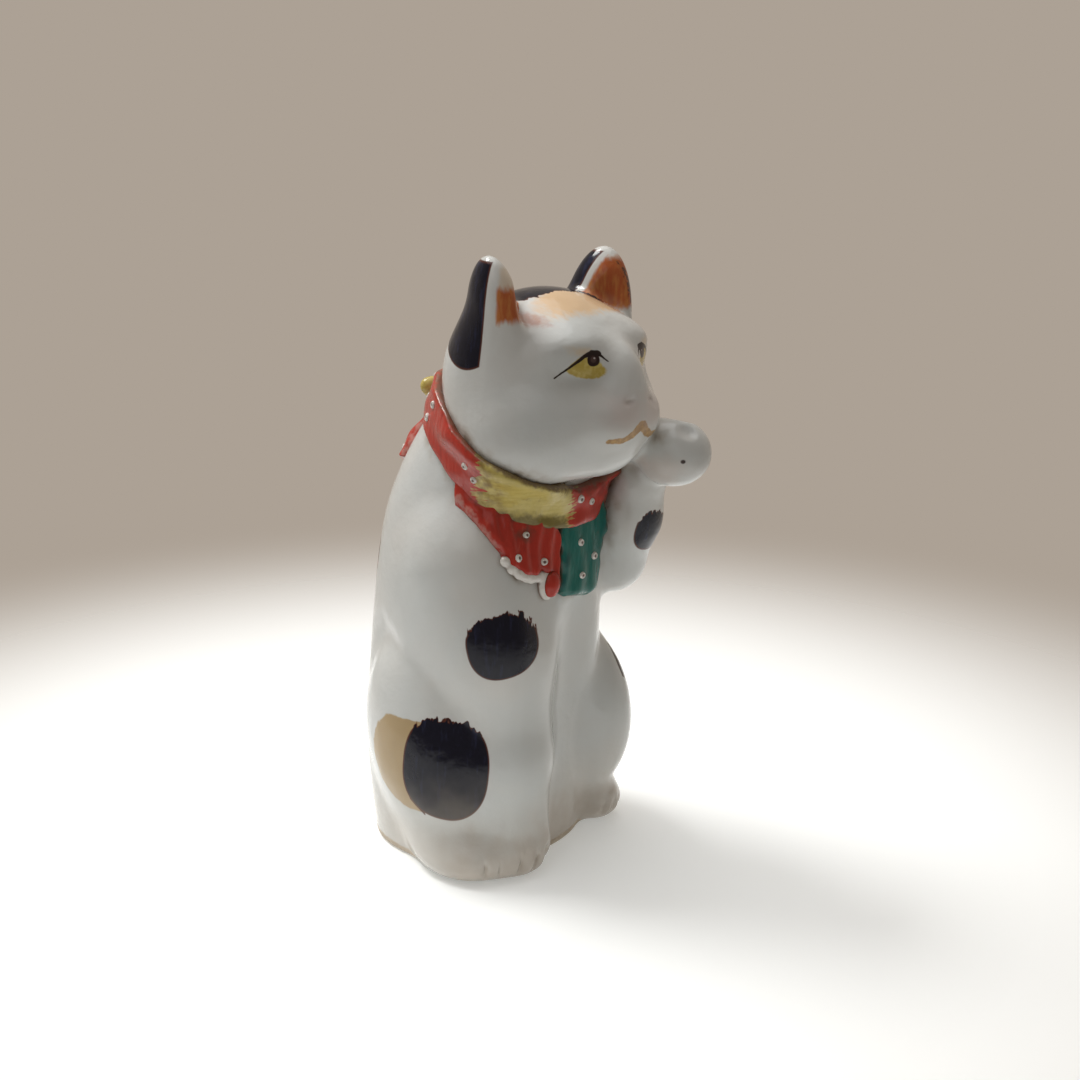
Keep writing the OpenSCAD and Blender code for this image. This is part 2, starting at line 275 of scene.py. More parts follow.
# The band's lower and upper edge by angle round the neck: 90 is the nape, 270 the throat.
BAND = [(0, -0.6, 9.5), (45, 1.8, 10.5), (90, 3, 11), (135, 1.4, 10.8), (160, 0.2, 11), (180, -0.6, 10.4),
        (200, -1.8, 9.8), (220, -2.3, 9.4), (238, -2.7, 8), (255, -3.1, 6), (270, -3.4, 4.4),
        (285, -3.5, 4.6), (300, -2.6, 6), (330, -1.6, 8.6), (360, -0.6, 9.5)]
BAND_PROUD, BAND_SUNK, BAND_SQUARE = 2.3, 1.2, 2.6


def neck(p):
    """The surface that the collar lies on."""
    return join(torso(p), head(p), 5)


def round_neck(p):
    """Angle round the neck in degrees, and height along the neck."""
    q = p - COLLAR_AT
    return np.degrees(np.arctan2(q @ COLLAR_Y, q @ COLLAR_X)) % 360, q @ COLLAR_UP


def collar(p):
    """Rolled band with a super-elliptic section, a little uneven."""
    angle, height = round_neck(p)
    low, high = smooth_column(BAND, angle, 1), smooth_column(BAND, angle, 2)
    across = (height - (low + high) / 2 + 0.3 * wavy(p, 11, 1)) / (high - low) * 2
    out = neck(p) + 0.25 * wavy(p * np.array([1, 1, 2.2]), 9, 2)
    middle, half = (BAND_PROUD - BAND_SUNK) / 2, (BAND_PROUD + BAND_SUNK) / 2
    r = (np.abs((out - middle) / half) ** BAND_SQUARE + np.abs(across) ** BAND_SQUARE) ** (1 / BAND_SQUARE)
    return (r - 1) * half


def outline(x, z, corners):
    """Signed distance in the plane to a closed outline."""
    corners = np.array(corners, float)
    best = np.full(x.shape, 1e9)
    inside = np.zeros(x.shape, bool)
    for (ax, az), (bx, bz) in zip(corners, np.roll(corners, -1, 0)):
        dx, dz = bx - ax, bz - az
        t = np.clip(((x - ax) * dx + (z - az) * dz) / (dx * dx + dz * dz), 0, 1)
        best = np.minimum(best, (x - ax - t * dx) ** 2 + (z - az - t * dz) ** 2)
        crosses = (az > z) != (bz > z)
        inside ^= crosses & (x < ax + (z - az) * dx / (dz if dz else 1e-9))
    return np.where(inside, -1, 1) * np.sqrt(best)


# The bib's halves meet at the seam; both run up to BIB_TOP, under the collar.
SEAM_X, BIB_TOP = -4.5, 90
RED = [(-21.5, BIB_TOP), (-20.6, 82), (-19.2, 76), (-17.6, 71.4), (-15.4, 69.4), (-12.4, 68.2), (-9.8, 68.8),
       (-8, 67.6), (-6, 65.6), (SEAM_X, 65.2), (SEAM_X, BIB_TOP)]
GREEN = [(SEAM_X, BIB_TOP), (SEAM_X, 66), (-4.9, 63), (-3, 61.6), (0.5, 61), (4.9, 60.2), (8.2, 60.8),
         (9.8, 63.5), (10.6, 70), (11, BIB_TOP)]
BIB_PROUD, BIB_SUNK = 1.7, 1.0
# The bib keeps to the front of this depth, and below this height up the neck.
BIB_BACK, BIB_UP = -11, 0.5


def panel(p, corners, ease, pleat, depth, fan):
    """Strip of clay on the chest, inside the outline, with pleats across it."""
    x, z = p[..., 0], p[..., 2]
    fold = np.cos(2 * pi * (x + fan * (z - BIB_TOP)) / pleat + 1.3 * wavy(p, 13, 5))
    out = figure(p) - depth * fold
    middle, half = (BIB_PROUD - BIB_SUNK) / 2, (BIB_PROUD + BIB_SUNK) / 2
    d = carve(np.abs(out - middle) - half, -(outline(x, z, corners) + 0.3 * wavy(p, 5, 6)), ease)
    return np.maximum(np.maximum(d, p[..., 1] - BIB_BACK), round_neck(p)[1] - BIB_UP)


def red_panel(p):
    return panel(p, RED, 1.4, 2.9, 0.17, -0.12)


def green_panel(p):
    return panel(p, GREEN, 1.8, 5.6, 0.12, 0.02)


def on_skin(places, level):
    """Points of the figure's skin, moved out by level, in front of (x, z) places."""
    p = np.array([(x, -45.0, z) for x, z in places])
    for _ in range(60):
        p[:, 1] += np.clip(figure(p) - level, -0.5, 3) * 0.7
    return p


BEAD = on_skin([(-7.7, 66.0)], 1.0)[0]
HEM = on_skin([(-17.9, 72.4), (-16.9, 70.7), (-15.6, 69.5), (-14.2, 68.7), (-12.7, 68.1), (-11.2, 68.0),
               (-9.9, 68.1)], 0.5)


def hem(p):
    """White lumps along the red panel's hem, and the rim round the bead."""
    d = oval(p, BEAD - (0, -0.6, 0.1), (2.8, 1.5, 3.6), (0, 8, 0))
    for k, at in enumerate(HEM):
        d = join(d, oval(p, at, (1.35 + 0.2 * sin(3 * k), 1.1, 1.15), (0, 30, 0)), 0.6)
    return d


def bead(p):
    """The red drop at the hem."""
    return oval(p, BEAD + (0.1, -0.5, -0.1), (2.1, 1.6, 2.8), (0, 8, 0))


def knot(p):
    """Yellow bow at the nape: a drooping middle and two short loops."""
    d = blobs(p, [((0, 12.4, 98.8), (3.3, 2.5, 5.6), (24, 0, 0), 1),
                  ((0, 11.2, 102.8), (5.0, 2.5, 2.6), (15, 0, 0), 1.5)]
              + both((5.0, 9.2, 102.8), (4.0, 2.2, 2.5), (0, -12, 25), 1.5))
    return d + 0.15 * wavy(p, 5, 8)


# Outline of one scarf tail, on either side of the middle.
LEAF = [(0.6, 99.5), (3.4, 100.5), (7, 97.5), (11.2, 91.5), (11.8, 88), (9.4, 86.4), (5.8, 89),
        (2.2, 94.5)]
LEAF_MIDDLE, LEAF_HALF, LEAF_EASE, LEAF_FRONT = 0.5, 1.6, 1.6, 5


def tails(p):
    """Two leaves lying on the back and the collar, with slight waves."""
    x = np.abs(p[..., 0])
    out = join(figure(p), collar(p), 1) - 0.3 * np.cos(x - 0.5 * p[..., 2])
    leaf = carve(np.abs(out - LEAF_MIDDLE) - LEAF_HALF, -outline(x, p[..., 2], LEAF), LEAF_EASE)
    return np.maximum(leaf, LEAF_FRONT - p[..., 1])


# ---------------- meshing a field
def gradient(field, p, h=0.12):
    """Unit normal and value of the field, from four samples around each point."""
    corners = np.array([(1, -1, -1), (-1, -1, 1), (-1, 1, -1), (1, 1, 1)], float)
    values = [field(p + h * c) for c in corners]
    slope = sum(v[:, None] * c for v, c in zip(values, corners)) / (4 * h)
    length = np.linalg.norm(slope, axis=1, keepdims=True) + 1e-9
    return slope / length, sum(values) / 4 / length[:, 0]


def settle(field, p, times=2):
    """Moves points onto the zero surface."""
    for _ in range(times):
        normal, value = gradient(field, p)
        p = p - normal * np.clip(value, -0.8, 0.8)[:, None]
    return p


def sampled(field, low, high, step):
    """Field values on a grid, exact only near the surface."""
    coarse = 4
    shape = [int(np.ceil((b - a) / step / coarse)) * coarse + 1 for a, b in zip(low, high)]
    axes = [a + step * np.arange(n) for a, n in zip(low, shape)]
    rough = field(np.stack(np.meshgrid(*[a[::coarse] for a in axes], indexing="ij"), -1))
    near = [np.clip((np.arange(n) + coarse // 2) // coarse, 0, m - 1) for n, m in zip(shape, rough.shape)]
    values = rough[np.ix_(*near)].copy()
    close = np.abs(values) < step * coarse * 1.6
    i, j, k = np.nonzero(close)
    values[close] = field(np.stack([axes[0][i], axes[1][j], axes[2][k]], -1))
    return values


def surface(field, low, high, step):
    """Quad mesh of the field's zero surface by surface nets."""
    f = sampled(field, low, high, step)
    inside = f < 0
    cells = tuple(n - 1 for n in f.shape)
    total = np.zeros(cells + (3,))
    count = np.zeros(cells)
    quads = []
    for axis in range(3):
        lead = [slice(None)] * 3
        lag = [slice(None)] * 3
        lead[axis], lag[axis] = slice(0, -1), slice(1, None)
        a, b = f[tuple(lead)], f[tuple(lag)]
        cross = inside[tuple(lead)] != inside[tuple(lag)]
        i = np.stack(np.nonzero(cross), -1)
        t = a[cross] / (a[cross] - b[cross])
        point = i.astype(float)
        point[:, axis] += t
        u, v = [x for x in range(3) if x != axis]
        ring = []
        for du, dv in ((-1, -1), (0, -1), (0, 0), (-1, 0)):
            cell = i.copy()
            cell[:, u] += du
            cell[:, v] += dv
            good = ((cell >= 0) & (cell < np.array(cells))).all(1)
            np.add.at(total, tuple(cell[good].T), point[good])
            np.add.at(count, tuple(cell[good].T), 1)
            ring.append(cell)
        ring = np.stack(ring, 1)
        good = ((ring >= 0) & (ring < np.array(cells))).all((1, 2))
        flip = inside[tuple(lead)][cross] != (axis == 1)
        ring[flip] = ring[flip][:, ::-1]
        quads.append(ring[good])
    quads = np.concatenate(quads)
    index = -np.ones(cells, int)
    used = count > 0
    index[used] = np.arange(used.sum())
    points = total[used] / count[used][:, None] * step + np.array(low, float)
    faces = index[tuple(np.moveaxis(quads, -1, 0))][:, ::-1]
    return points, faces


def evened(points, faces, field, rounds):
    """Slides points along the surface towards the middle of their neighbours."""
    pairs = np.concatenate([faces[:, [k, (k + 1) % 4]] for k in range(4)])
    for _ in range(rounds):
        total = np.zeros_like(points)
        count = np.zeros(len(points))
        for a, b in ((0, 1), (1, 0)):
            np.add.at(total, pairs[:, a], points[pairs[:, b]])
            np.add.at(count, pairs[:, a], 1)
        points = settle(field, points * 0.4 + 0.6 * total / count[:, None], 1)
    return points


def halved(points, faces):
    """Splits each quad in four."""
    edges = np.concatenate([faces[:, [k, (k + 1) % 4]] for k in range(4)])
    unique, inverse = np.unique(np.sort(edges, 1), axis=0, return_inverse=True)
    middle = points[unique].mean(1)
    centre = points[faces].mean(1)
    n, m, c = len(points), len(unique), len(faces)
    edge_id = n + inverse.reshape(4, c)
    centre_id = n + m + np.arange(c)
    new = [np.stack([faces[:, k], edge_id[k], centre_id, edge_id[k - 1]], 1) for k in range(4)]
    return np.concatenate([points, middle, centre]), np.concatenate(new)


def sculpted(field, low, high, step, rounds):
    """Even quad mesh of the field inside the box, its quads half a step wide."""
    points, faces = surface(field, low, high, step)
    points = evened(settle(field, points), faces, field, rounds)
    points, faces = halved(points, faces)
    return settle(field, points), faces


# ---------------- Blender objects
# How far an open edge turns in before it closes, and how deep the closing fan is at most.
TURN_IN, FAN_DEPTH = 1.0, 3.0


def loops_of(faces):
    """Boundary loops of a face set, as lists of point indices."""
    following = {}
    edges = {edge for face in faces for edge in zip(face, face[1:] + face[:1])}
    for a, b in edges:
        if (b, a) not in edges:
            following.setdefault(a, []).append(b)
    loops = []
    while following:
        start = next(iter(following))
        loop, here = [], start
        while here in following:
            loop.append(here)
            nexts = following[here]
            there = nexts.pop()
            if not nexts:
                del following[here]
            here = there
        loops.append(loop)
    return loops


def placed(name, data):
    """Object with the given data, in the scene."""
    piece = bpy.data.objects.new(name, data)
    bpy.context.scene.collection.objects.link(piece)
    return piece


def meshed(name, points, faces, layers):
    """Smooth mesh object; each layer has a number for every point."""
    mesh = bpy.data.meshes.new(name)
    mesh.from_pydata((np.array(points) * MM).tolist(), [], faces)
    mesh.update()
    for key, value in layers.items():
        mesh.attributes.new(key, "FLOAT", "POINT").data.foreach_set("value", np.array(value, np.float32))
    mesh.polygons.foreach_set("use_smooth", [True] * len(mesh.polygons))
    return placed(name, mesh)


def closed_mesh(name, points, normals, faces, layers):
    """Object of the given quads, each open edge turned in and closed by a fan behind the surface."""
    used, inverse = np.unique(faces, return_inverse=True)
    faces = inverse.reshape(faces.shape)
    points, normals = points[used], normals[used]
    layers = {key: value[used] for key, value in layers.items()}
    polygons = [tuple(face) for face in faces.tolist()]
    extra, extra_normals = [], []
    for loop in loops_of(polygons):
        ring = points[loop] - TURN_IN * normals[loop]
        spread = np.linalg.norm(ring - ring.mean(0), axis=1).mean()
        tip = ring.mean(0) - min(spread, FAN_DEPTH) * normals[loop].mean(0)
        first, count = len(points) + len(extra), len(loop)
        extra += [*ring, tip]
        extra_normals += [*normals[loop], -normals[loop].mean(0)]
        for k in range(count):
            after = (k + 1) % count
            polygons.append((loop[after], loop[k], first + k, first + after))
            polygons.append((first + after, first + k, first + count))
    if extra:
        points = np.concatenate([points, extra])
        normals = np.concatenate([normals, extra_normals])
        layers = {key: np.concatenate([value, np.zeros(len(extra))]) for key, value in layers.items()}
    piece = meshed(name, points, polygons, layers)
    length = np.linalg.norm(normals, axis=1, keepdims=True) + 1e-9
    piece.data.normals_split_custom_set_from_vertices((normals / length).tolist())
    return piece


# ---------------- painting with object coordinates
# Places of the Mix node's factor and two colours, and of its colour output.
MIX_INPUTS, MIX_OUTPUT = (0, 6, 7), 2


def math_node(operation):
    """Method of Value that puts it through one Math node."""
    return lambda self, other=0.0: self.paint.math(operation, self, other)


class Value:
    """A number worked out by Math nodes."""

    def __init__(self, paint, socket):
        self.paint, self.socket = paint, socket

    __add__ = __radd__ = math_node("ADD")
    __sub__ = math_node("SUBTRACT")
    __mul__ = __rmul__ = math_node("MULTIPLY")
    __truediv__ = math_node("DIVIDE")
    __pow__ = math_node("POWER")
    __abs__ = math_node("ABSOLUTE")
    under = math_node("MINIMUM")
    over = math_node("MAXIMUM")

    def __rsub__(self, other):
        return self.paint.math("SUBTRACT", other, self)


class Paint:
    """A Principled material whose colour is laid on coat by coat."""

    def __init__(self, name, base, roughness, **settings):
        self.material = bpy.data.materials.new(name)
        self.material.use_nodes = True
        self.tree = self.material.node_tree
        self.shader = self.tree.nodes["Principled BSDF"]
        self.shader.inputs["Roughness"].default_value = roughness
        for key, value in settings.items():
            self.shader.inputs[key.replace("_", " ")].default_value = value
        self.material.diffuse_color = (*base, 1)
        place = self.node("TexCoord").outputs["Object"]
        scale = self.node("VectorMath", operation="SCALE")
        scale.inputs["Scale"].default_value = 1 / MM
        self.link(place, scale.inputs[0])
        self.place = scale.outputs[0]
        split = self.node("SeparateXYZ")
        self.link(self.place, split.inputs[0])
        self.x, self.y, self.z = (Value(self, split.outputs[k]) for k in range(3))
        self.colour = base

    def node(self, kind, **settings):
        node = self.tree.nodes.new("ShaderNode" + kind)
        for key, value in settings.items():
            setattr(node, key, value)
        return node

    def link(self, source, target):
        self.tree.links.new(source, target)

    def feed(self, value, target):
        if isinstance(value, Value):
            self.link(value.socket, target)
        elif isinstance(value, (int, float)):
            target.default_value = value
        elif isinstance(value, tuple):
            target.default_value = (*value, 1)
        else:
            self.link(value, target)

    def math(self, operation, *inputs):
        node = self.node("Math", operation=operation)
        for value, target in zip(inputs, node.inputs):
            self.feed(value, target)
        return Value(self, node.outputs[0])

    def ramp(self, value, low, high):
        """Smooth step from 0 at low to 1 at high."""
        node = self.node("MapRange", interpolation_type="SMOOTHSTEP")
        for given, target in ((value, "Value"), (low, "From Min"), (high, "From Max")):
            self.feed(given, node.inputs[target])
        return Value(self, node.outputs["Result"])

    def noise(self, size, detail=2.0, stretch=(1, 1, 1), shift=0.0):
        """Noise from about -1 to 1, with patches about size wide."""
        mapping = self.node("Mapping")
        mapping.inputs["Scale"].default_value = [1 / s for s in stretch]
        mapping.inputs["Location"].default_value = (shift, 2 * shift, -shift)
        self.link(self.place, mapping.inputs["Vector"])
        node = self.node("TexNoise")
        node.inputs["Scale"].default_value = 1 / size
        node.inputs["Detail"].default_value = detail
        self.link(mapping.outputs[0], node.inputs["Vector"])
        return (Value(self, node.outputs[0]) - 0.5) * 4

    def attribute(self, name):
        return Value(self, self.node("Attribute", attribute_name=name).outputs["Fac"])

    def blend(self, one, other, amount):
        """Colour between two, without laying it."""
        node = self.node("Mix", data_type="RGBA")
        for value, place in zip((amount, one, other), MIX_INPUTS):
            self.feed(value, node.inputs[place])
        return node.outputs[MIX_OUTPUT]

    def lay(self, colour, amount):
        """Lays a colour over what is there."""
        self.colour = self.blend(self.colour, colour, amount)

    def coat(self, colour, value, low, high, strength=1.0):
        """Lays a colour where the value has passed low, in full from high on."""
        self.lay(colour, self.ramp(value, low, high) * strength)

    def oval(self, u, v, centre, radii, power=2.0, tilt=0.0):
        """Depth inside a super-ellipse in the plane of u and v, in millimetres."""
        c, s = cos(radians(tilt)), sin(radians(tilt))
        a, b = u - centre[0], v - centre[1]
        if tilt:
            a, b = a * c + b * s, b * c - a * s
        r = ((abs(a) / radii[0]) ** power + (abs(b) / radii[1]) ** power) ** (1 / power)
        return (1 - r) * min(radii)

    def finish(self, bump, distance):
        """Connects the colour, and ripples distance high, and gives the material."""
        self.feed(self.colour, self.shader.inputs["Base Color"])
        node = self.node("Bump")
        node.inputs["Distance"].default_value = distance * MM
        self.feed(bump, node.inputs["Height"])
        self.link(node.outputs[0], self.shader.inputs["Normal"])
        return self.material


# Direction that runs from back to front along the cat's right side, on which the patches are placed.
SIDE = (0.663, -0.749)


def along(paint):
    """Distance along the right side, back to front."""
    return paint.x * SIDE[0] + paint.y * SIDE[1]


def outward(paint):
    """Distance out to the right of the middle, square to the right side."""
    return paint.x * SIDE[1] - paint.y * SIDE[0]


WHITE = (0.60, 0.62, 0.61)
INK = (0.008, 0.008, 0.016)
INK_BLUE = (0.022, 0.026, 0.062)
RUST = (0.10, 0.030, 0.018)
TAN = (0.43, 0.32, 0.18)
# The crown's tan, lighter and more orange than the thigh's: partly its own colour, partly painted light for
# the lit top of the head.
LIT_CROWN_TAN = (0.72, 0.47, 0.24)
ORANGE = (0.42, 0.105, 0.034)
YELLOW = (0.52, 0.42, 0.12)
RED_ENAMEL = (0.44, 0.040, 0.026)
GREEN_ENAMEL = (0.014, 0.135, 0.112)
# Brown of dirt and painted shade, deep in the creases.
CREASE_DIRT_SHADE = (0.16, 0.105, 0.055)
GREY_BROWN = (0.36, 0.30, 0.23)
FOOT_STAIN = (0.34, 0.26, 0.20)
FOOT_EDGE = (0.30, 0.22, 0.15)
LINE = (0.022, 0.012, 0.010)
NOWHERE = 1e3
GLAZE = {"Coat_Weight": 0.05, "Coat_Roughness": 0.03, "IOR": 1.36}


def jagged(paint, inside, low):
    """An edge that is brushed ragged above the height low."""
    teeth = paint.noise(0.9, 1.0, (1, 1, 2)) * 0.63 + paint.noise(2.8, 1.0, shift=3.0) * 0.45
    return inside + teeth * paint.ramp(paint.z, low, low + 2)


def black(paint, inside, low=NOWHERE, thin=0.0):
    """Blue-black patch with a thin brown edge and streaks, ragged above the height low."""
    edge = jagged(paint, inside, low)
    streak = paint.ramp(paint.noise(1.3, 3.0, (1, 1, 5), 7.0) + thin, 0.1, 1.6)
    ink = paint.blend(INK, INK_BLUE, streak)
    paint.coat(RUST, edge, -0.12, 0.12)
    paint.coat(ink, edge, 0.05, 0.45 if thin == 0 else 0.6)


def stroke(u, v, points, width, tail=0.25):
    """Depth inside a brush stroke through points (u, v), thinning towards its first point."""
    best = None
    count = len(points) - 1
    for k, ((au, av), (bu, bv)) in enumerate(zip(points[:-1], points[1:])):
        du, dv = bu - au, bv - av
        t = ((u - au) * du + (v - av) * dv) / (du * du + dv * dv)
        t = t.over(0.0).under(1.0)
        gap = ((u - au - t * du) ** 2 + (v - av - t * dv) ** 2) ** 0.5
        here = (t + k) * ((1 - tail) / count) + tail
        depth = here * (width / 2) - gap
        best = depth if best is None else best.over(depth)
    return best


def glaze_ground(name):
    """White glaze with its slight unevenness, before any patch."""
    paint = Paint(name, WHITE, 0.11, **GLAZE)
    paint.coat((0.63, 0.60, 0.56), paint.noise(22, 2.0, shift=5.0), -0.6, 1.0, 0.5)
    paint.coat((0.53, 0.58, 0.58), paint.noise(14, 3.0, shift=1.0), 0.0, 1.6, 0.4)
    return paint


def glaze_finish(paint):
    """Dirt and painted shade in the creases, small specks, and the glaze's ripple."""
    crease_dirt_shade = paint.attribute("crease_dirt_shade")
    cloudy = paint.ramp(paint.noise(3.5, 4.0, shift=9.0), -0.7, 0.9)
    # Grey-brown, then brown deeper in: dirt and painted shade in the creases.
    paint.coat(GREY_BROWN, crease_dirt_shade * (0.4 + cloudy * 0.8), 0.15, 0.85, 0.45)
    paint.coat(CREASE_DIRT_SHADE, crease_dirt_shade * (0.2 + cloudy), 0.6, 1.2, 0.7)
    foot = (1.8 - paint.z) + paint.noise(2.5, 3.0, shift=4.0) * 0.8
    paint.coat(FOOT_EDGE, foot, 0.2, 2.0, 0.65)
    warm = paint.ramp(paint.z + paint.noise(9, 2.0, shift=2.0) * 4, 26, 4)
    paint.lay((0.62, 0.54, 0.44), warm * 0.32)
    speck = paint.ramp(paint.noise(0.55, 1.0, shift=11.0), 1.28, 1.42)
    paint.lay((0.05, 0.045, 0.05), speck * paint.ramp(paint.noise(7, 1.0, shift=6.0), 0.2, 1.0) * 0.8)
    ripple = paint.noise(2.2, 2.0, shift=8.0) * 0.5 + paint.noise(7.0, 1.0, shift=3.0)
    return paint.finish(ripple, 0.05)


def body_glaze():
    paint = glaze_ground("white_glaze_body")
    r, d = along(paint), outward(paint)
    shoulder = paint.oval(r, paint.z, (4.4, 54.9), (7.4, 6.9), 2.5, 12)
    black(paint, shoulder.under(d + 2), 56.5)
    thigh_tan = paint.oval(r, paint.z, (-14.6, 26.5), (9.8, 11.2), 2.3).under(36.2 - paint.z)
    paint.coat(TAN, thigh_tan.under(d + 2) + paint.noise(2.0, 2.0) * 0.2, -0.15, 0.25)
    spike = stroke(r, paint.z, [(-12.6, 15.0), (-14.6, 18.6)], 2.8, 0.1)
    black(paint, spike.under(d + 2))
    thigh = paint.oval(r, paint.z, (-7.9, 26.2), (9.3, 11.6), 2.5, -6).under(37.0 - paint.z)
    black(paint, thigh.under(d + 2), 33.5)
    back = paint.oval(paint.x, paint.z, (-10.5, 66), (8.5, 9.5), 2.3).under(paint.y - 2)
    black(paint, back, 71)
    stain = paint.ramp(paint.z + paint.noise(5, 3.0) * 4, 15, 2) * paint.ramp(paint.y, -6, -18)
    paint.lay(FOOT_STAIN, stain * 0.5)
    inner_edge = (paint.z - 39) ** 2 * -0.05 + paint.x - 20.3
    black(paint, paint.oval(paint.y, paint.z, (-13, 39), (10.5, 8), 2.3).under(inner_edge), 42)
    return glaze_finish(paint)


def arm_glaze():
    paint = glaze_ground("white_glaze_arm")
    r = along(paint)
    patch = paint.oval(r, paint.z, (36.3, 73.0), (3.8, 4.9), 2.3, -12).under(outward(paint) + 4)
    patch = patch.under(paint.oval(paint.x, paint.z, (19.2, 73.0), (6.3, 5.6), 2.2))
    black(paint, patch, 75)
    pit = paint.oval(r, paint.z, (41.5, 91.2), (0.55, 0.45), 2.0)
    paint.coat(INK, pit, -0.1, 0.15)
    shade = paint.oval(paint.y, paint.z, (-39, 89), (9, 5), 2.0)
    paint.coat((0.55, 0.43, 0.36), shade + paint.noise(4, 3.0) * 1.2, 0, 4, 0.35)
    return glaze_finish(paint)


def head_glaze():
    paint = glaze_ground("white_glaze_head")
    x, y, z = paint.x, paint.y, paint.z
    ax = abs(x)
    # Crown: black saddle behind, tan in front of it; this tan is lighter than the thigh's, painted light for
    # the lit top of the head.
    rag = paint.noise(1.2, 2.0, (1, 2.5, 1)) * 0.9
    crown_tan = paint.oval(x, y, (2.2, -25.2), (13.5, 5.6), 2.4, 4) + rag * 0.8
    paint.coat(LIT_CROWN_TAN, crown_tan, -0.8, 1.8, 0.8 * paint.ramp(z, 116, 119))
    saddle = paint.oval(x, y, (2.5, -13.5), (16, 9.2), 3.0, -8).under(z - 117)
    black(paint, saddle + rag * 0.8 * paint.ramp(y, -18, -22))
    # Spill of the ears' orange.
    spill = paint.oval(ax, z, (13.6, 121.2), (3.6, 1.9)).under(y * -1 - 19)
    paint.coat(ORANGE, spill + paint.noise(1.5, 2.0) * 0.5, -0.2, 1.6, 0.6)
    eyes(paint)
    mouth(paint)
    return glaze_finish(paint)


def eyes(paint):
    """Wash above the lid, yellow below it, the pupil with its glint, then the lid line and the lash."""
    ax, z = abs(paint.x), paint.z
    front = paint.ramp(paint.y, -24, -27)
    wash = paint.oval(ax, z, (9.6, 115.2), (4.4, 1.6), tilt=14)
    paint.coat((0.70, 0.52, 0.28), wash + paint.noise(1.2, 2.0) * 0.3, 0.0, 1.6, 0.5 * front)
    lid = z - (115.1 - (ax - 8.3) ** 2 * 0.15)
    iris = paint.oval(ax, z, (9.3, 112.2), (4.2, 2.1), 2.2, 16).under(lid * -1)
    gold = paint.blend((0.48, 0.36, 0.08), (0.60, 0.49, 0.15), paint.ramp(paint.noise(1.2, 3.0), -0.5, 0.8))
    paint.coat(gold, iris + paint.noise(0.8, 2.0) * 0.12, -0.05, 0.25, front)
    pupil = paint.oval(ax, z, (7.7, 113.75), (1.35, 1.4), 2.2)
    paint.coat((0.030, 0.014, 0.012), pupil, -0.05, 0.15, front)
    inner = paint.oval(ax, z, (7.7, 113.75), (0.8, 0.8))
    paint.coat((0.085, 0.05, 0.045), inner, 0.0, 0.4, front)
    glint = paint.oval(ax, z, (7.5, 114.0), (0.3, 0.25))
    paint.coat((0.55, 0.5, 0.5), glint, 0.0, 0.2, front)
    line = stroke(ax, z, [(14.3, 110.4), (11.6, 112.9), (9.6, 114.5), (7.9, 115.1), (6.4, 114.8)], 1.25)
    lash = stroke(ax, z, [(4.8, 113.2), (5.9, 114.3), (7.4, 115.1)], 0.9)
    paint.coat(LINE, line.over(lash) + paint.noise(0.6, 1.0) * 0.04, -0.06, 0.1, front)


def mouth(paint):
    """Ochre stroke, thickest at its middle, and a faint blush on the muzzle."""
    ax, y, z = abs(paint.x), paint.y, paint.z
    lips = stroke(ax, z, [(7.4, 98.0), (4.2, 97.9), (2.1, 98.9), (0.3, 100.4)], 2.2, 0.45)
    mottle = paint.ramp(paint.noise(1.0, 2.0), -0.6, 0.8)
    ochre = paint.blend((0.33, 0.17, 0.035), (0.50, 0.29, 0.075), mottle)
    edge = paint.ramp(lips + paint.noise(0.8, 2.0) * 0.12, -0.12, 0.15)
    paint.lay(ochre, edge * paint.ramp(y, -34, -36) * 0.9)
    blush = paint.ramp(paint.oval(ax, z, (4, 103.5), (8, 6)) + paint.noise(3, 2.0), 0.0, 5.0)
    paint.lay((0.66, 0.55, 0.52), blush * 0.45 * paint.ramp(y, -30, -38))


def ear_glaze():
    paint = glaze_ground("white_glaze_ear")
    ax, y, z = abs(paint.x), paint.y, paint.z
    streak = paint.noise(1.1, 3.0, (1, 1, 4))
    # The inside: orange, which reaches higher on the left ear, and cream above it.
    bowl = (y * -1 - 19.0) - (ax - 12.4) * 0.5
    cream = paint.oval(ax, z, (16, 128.5), (4.5, 4), 2.0).under(bowl)
    paint.coat((0.66, 0.54, 0.40), cream + streak * 0.3, -0.2, 1.2, 0.7)
    top = 127.8 + paint.ramp(paint.x, -2, 2) * 3.9
    flame = bowl.under((top - z) * 0.45).under((z - 120.6) * 0.5).under((20.9 - ax) * 0.8) + streak * 0.3
    fire = paint.blend(ORANGE, (0.52, 0.20, 0.06), paint.ramp(streak, -0.5, 0.9))
    paint.coat(fire, flame, -0.2, 0.6)
    edge = (ax - 17.9 + (z - 121) * 0.12).under(bowl - 1.5)
    edge = edge.under(131 - z).under((z - 120) * 0.3).under(paint.x)
    paint.coat((0.05, 0.03, 0.03), edge + paint.noise(0.9, 2.0) * 0.8, 0.2, 0.7, 0.8)
    # The back: a long black stripe that leaves a white rim.
    reach = y + 17.2 + (ax - 13) * 0.4 + (z - 121) * 0.12
    foot = z - 111.2 - (y + 16) ** 2 * 0.07
    black(paint, reach.under(foot).under(132.3 - z + (y + 20) * 0.1), thin=0.25)
    return glaze_finish(paint)


def enamel(name, base, light, dark):
    """Brushed enamel, with lighter streaks along the brush and darker clouds."""
    paint = Paint(name, base, 0.16, **GLAZE)
    streak = paint.noise(0.9, 3.0, (1, 1, 4), 2.0)
    paint.coat(light, streak + paint.noise(4, 2.0) * 0.5, 0.3, 1.7, 0.75)
    paint.coat(dark, paint.noise(3.2, 2.0, (1, 1, 2), 5.0), 0.2, 1.2, 0.7)
    return paint


